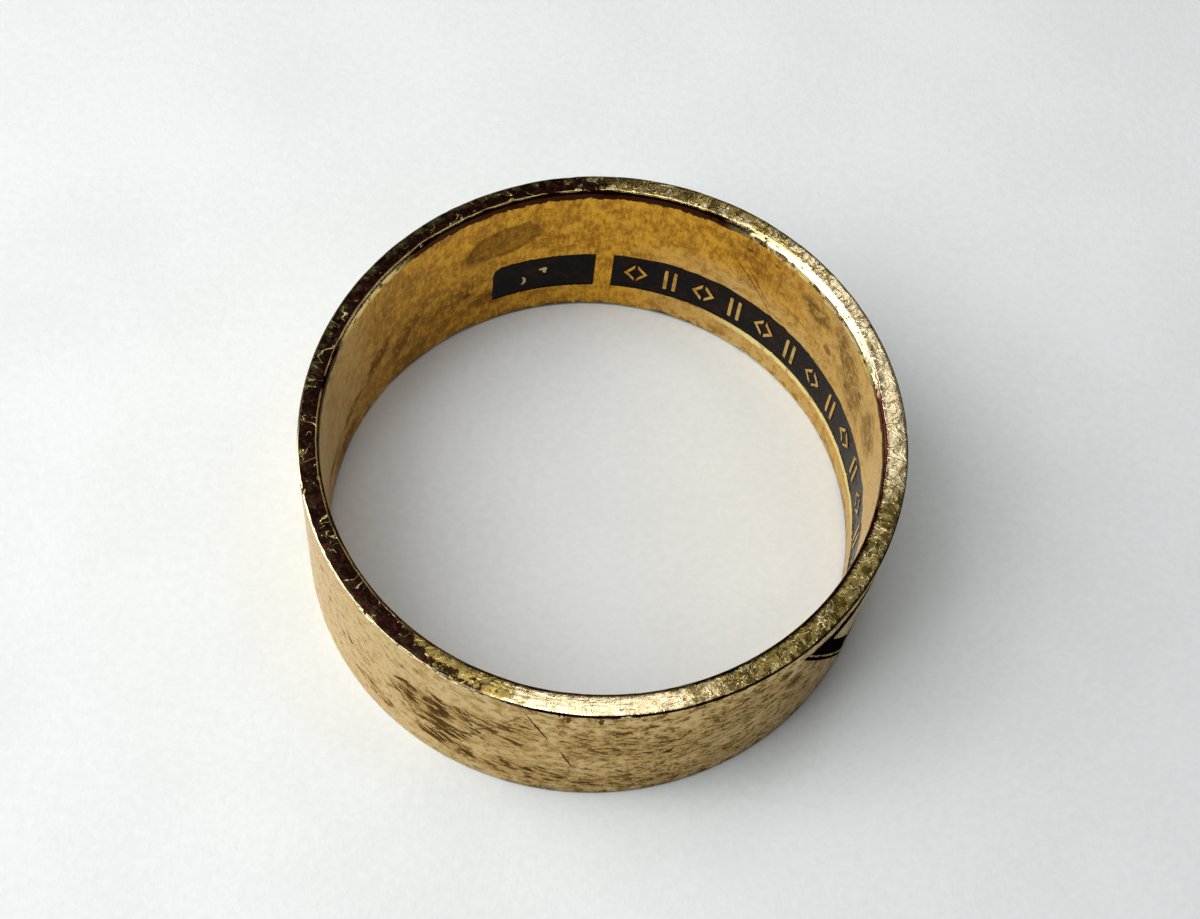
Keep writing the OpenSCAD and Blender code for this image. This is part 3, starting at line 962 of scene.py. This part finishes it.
def wornShape():
    sheet, given = startShape("wornShape", [
        ("Geometry", "Geometry"), ("oval", "Float"), ("ovalAngle", "Float"), ("third", "Float"),
        ("thirdAngle", "Float"), ("shrink", "Float"), ("waves", "Float"), ("crinkle", "Float"),
        ("edgeWear", "Float"), ("nicks", "Float"), ("softReach", "Float"), ("softOut", "Float"),
        ("softDrop", "Float"), ("boreRadius", "Float"), ("width", "Float"), ("seed", "Float"),
        ("material", "Material")])
    place = sheet.add("GeometryNodeInputPosition").outputs[0]
    normal = sheet.add("GeometryNodeInputNormal").outputs[0]
    x, y, z = sheet.split(place)
    angle = sheet.math("ARCTAN2", y, x)

    def lobe(count, amount, phase):
        turn = sheet.math("MULTIPLY", sheet.math("SUBTRACT", angle, phase), float(count))
        return sheet.math("MULTIPLY", sheet.math("COSINE", turn), amount)

    lobes = sheet.total(1.0, lobe(2, given["oval"], given["ovalAngle"]),
                        lobe(3, given["third"], given["thirdAngle"]))
    factor = sheet.math("MULTIPLY", given["shrink"], lobes)
    shaped = sheet.vector("MULTIPLY", place, sheet.join(factor, factor, 1.0))
    seedPlace = sheet.join(given["seed"], 0.0, 0.0)
    seeded = sheet.vector("ADD", sheet.vector("SCALE", place, scale=1 / mm), seedPlace)
    upright = sheet.math("ABSOLUTE", sheet.split(normal)[2])
    isRim = sheet.step(upright, 0.6, 0.95)
    isEdge = sheet.product(sheet.step(upright, 0.15, 0.4), sheet.step(upright, 0.97, 0.85))
    waves = sheet.product(sheet.noise(seeded, 0.45, 2.0), given["waves"])
    crinkle = sheet.product(sheet.noise(seeded, 2.6, 1.0, 0.5, 0.8), isRim, given["crinkle"])
    edgeWear = sheet.product(sheet.step(sheet.noise(seeded, 0.8, 2.0), 0.45, 0.7), isEdge, given["edgeWear"])
    nicks = sheet.product(sheet.step(sheet.noise(seeded, 2.2, 1.0), 0.60, 0.76), isEdge, given["nicks"])
    depth = sheet.math("MULTIPLY", sheet.total(waves, crinkle, edgeWear, nicks), -1.0)
    worn = sheet.vector("ADD", shaped, sheet.vector("SCALE", normal, scale=depth))

    # the upper inner edge is worn rounder along one stretch
    flat = sheet.join(x, y, 0.0)
    around = sheet.vector("NORMALIZE", flat)
    outerEnd = sheet.math("ADD", given["boreRadius"], given["softReach"])
    nearBore = sheet.step(sheet.vector("LENGTH", flat), outerEnd, given["boreRadius"], kind="LINEAR")
    lowerEnd = sheet.math("SUBTRACT", given["width"], given["softReach"])
    nearTop = sheet.step(z, lowerEnd, given["width"], kind="LINEAR")
    soft = sheet.product(stretch(sheet, around, *softStretch), nearBore, nearTop, nearTop)
    outwards = sheet.vector("SCALE", around, scale=sheet.product(soft, given["softOut"]))
    down = sheet.join(0.0, 0.0, sheet.product(soft, nearBore, given["softDrop"], -1.0))
    softened = sheet.vector("ADD", worn, sheet.vector("ADD", outwards, down))
    moved = sheet.add("GeometryNodeSetPosition", {"Geometry": given["Geometry"], "Position": softened})
    return endShape(sheet, moved.outputs[0], given["material"])


wornTree = wornShape()


# Takes out points that only two faces share, which cutting leaves along its seams
def dropSparePoints(mesh):
    work = bmesh.new()
    work.from_mesh(mesh)
    spare = [point for point in work.verts if len(point.link_edges) == 2]
    bmesh.ops.dissolve_verts(work, verts=spare)
    work.to_mesh(mesh)
    work.free()


# Gives a piece its wear, its smooth faces with sharp cut edges, and its place in the frame
def finishPiece(source, name, node, material, isGold):
    dropSparePoints(source.data)
    values = {**wear, "boreRadius": ring["boreRadius"], "width": ring["width"], "material": material}
    if not isGold:
        values.update(dict.fromkeys(goldOnly, 0.0))
    piece = makeMesh(name, wornTree, values, source.data)
    discard([source])
    piece.data.shade_smooth()
    piece.data.set_sharp_from_angle(angle=math.radians(38))
    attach(piece, "root")
    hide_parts(node)
    print(name, len(piece.data.polygons), "faces")


finishPiece(goldBand, "goldBandWorn", "band", wornGold, True)
finishPiece(longEnamel, "longPanelEnamel", "long_inner_panel", blackEnamel, False)
finishPiece(shortEnamel, "shortPanelEnamel", "short_inner_panel", blackEnamel, False)
finishPiece(triangleEnamel, "triangleEnamelFill", "outer_triangle", dullEnamel, False)


# Camera: where the photograph was taken from, in an image 1200 pixels wide; angles in radians

cameraView = {
    "place": Vector((0.0, -33.6013, 71.921)) * mm,
    "pitch": 1.10187,
    "yaw": -0.00085,
    "roll": 0.15116,
    "focalPixels": 2104.19,
    "imageWidth": 1200,
    "sensorWidth": 36.0,
}


def placeCamera(view):
    flat = math.cos(view["pitch"])
    forward = Vector((math.sin(view["yaw"]) * flat, math.cos(view["yaw"]) * flat, -math.sin(view["pitch"])))
    right = Vector((math.cos(view["yaw"]), -math.sin(view["yaw"]), 0.0))
    up = right.cross(forward)
    side = right * math.cos(view["roll"]) + up * math.sin(view["roll"])
    top = up * math.cos(view["roll"]) - right * math.sin(view["roll"])
    data = bpy.data.cameras.new("camera")
    data.sensor_width = view["sensorWidth"]
    data.lens = view["focalPixels"] / view["imageWidth"] * view["sensorWidth"]
    data.clip_start = 1 * mm
    data.clip_end = 10.0
    camera = bpy.data.objects.new("camera", data)
    turn = Matrix((side, top, -forward)).transposed().to_4x4()
    camera.matrix_world = Matrix.Translation(view["place"]) @ turn
    scene.collection.objects.link(camera)
    scene.camera = camera


placeCamera(cameraView)


# Floor and light

floor = {"size": 1.6, "drop": 0.01 * mm}


def layPaper(settings):
    half, low = settings["size"] / 2, -settings["drop"]
    mesh = bpy.data.meshes.new("floor")
    mesh.from_pydata([(-half, -half, low), (half, -half, low), (half, half, low), (-half, half, low)],
                     [], [(0, 1, 2, 3)])
    mesh.materials.append(palePaper)
    paper = bpy.data.objects.new("floor", mesh)
    scene.collection.objects.link(paper)


# Soft boxes: place, aim, width and height in millimetres, and turn about the aim in degrees. A box is white,
# unturned and aimed at the ring's foot unless it says otherwise.
lights = {
    "window": {"place": (-136, -73, 155), "size": (140, 140), "glow": 3.2, "colour": (0.985, 1.0, 0.99)},
    "lowStrip": {"place": (-260, 30, 62), "size": (240, 100), "glow": 6.2, "colour": (1.0, 1.0, 0.99)},
    "leftHigh": {"place": (-120, 0, 190), "size": (110, 110), "glow": 2.4, "colour": (0.98, 1.0, 1.0)},
    "frontHigh": {"place": (60, -150, 300), "size": (260, 190), "glow": 0.1, "colour": (0.97, 0.99, 1.0)},
    "zenith": {"place": (-60, -30, 260), "size": (90, 120), "glow": 5.8, "colour": (0.97, 0.99, 1.0)},
    "rimStrip": {"place": (1, 20, 300), "size": (34, 190), "glow": 3.6},
    "rimPatch": {"place": (54, 200, 300), "aim": (10, 5, 8), "size": (50, 80), "glow": 2.4},
    "rimDim": {"place": (52, 122, 300), "aim": (10, -5, 8), "size": (56, 62), "glow": 0.4},
    "sideGlint": {"place": (200, 60, 220), "aim": (0, 0, 8), "size": (30, 40), "glow": 4.0},
    "edgeGlint": {"place": (125, 12, 300), "aim": (0, 0, 8), "size": (174, 30), "turn": 52, "glow": 2.6},
}
room = {"colour": (0.93, 0.97, 1.0), "strength": 0.05}


def softBox(name, box):
    data = bpy.data.lights.new(name, "AREA")
    data.shape = "RECTANGLE"
    data.size, data.size_y = (side * mm for side in box["size"])
    data.energy = box["glow"] * math.pi * data.size * data.size_y
    data.color = box.get("colour", (1.0, 1.0, 1.0))
    lamp = bpy.data.objects.new(name, data)
    place = Vector(box["place"]) * mm
    aim = Vector(box.get("aim", (0, 0, 0))) * mm
    facing = (aim - place).to_track_quat("-Z", "Y").to_matrix().to_4x4()
    turn = Matrix.Rotation(math.radians(box.get("turn", 0)), 4, "Z")
    lamp.matrix_world = Matrix.Translation(place) @ facing @ turn
    scene.collection.objects.link(lamp)


layPaper(floor)
for name, box in lights.items():
    softBox(name, box)
world = bpy.data.worlds.new("room")
world.use_nodes = True
background = world.node_tree.nodes["Background"]
background.inputs["Color"].default_value = (*room["colour"], 1.0)
background.inputs["Strength"].default_value = room["strength"]
scene.world = world
scene.view_settings.view_transform = "Standard"
print("camera, floor and light placed")
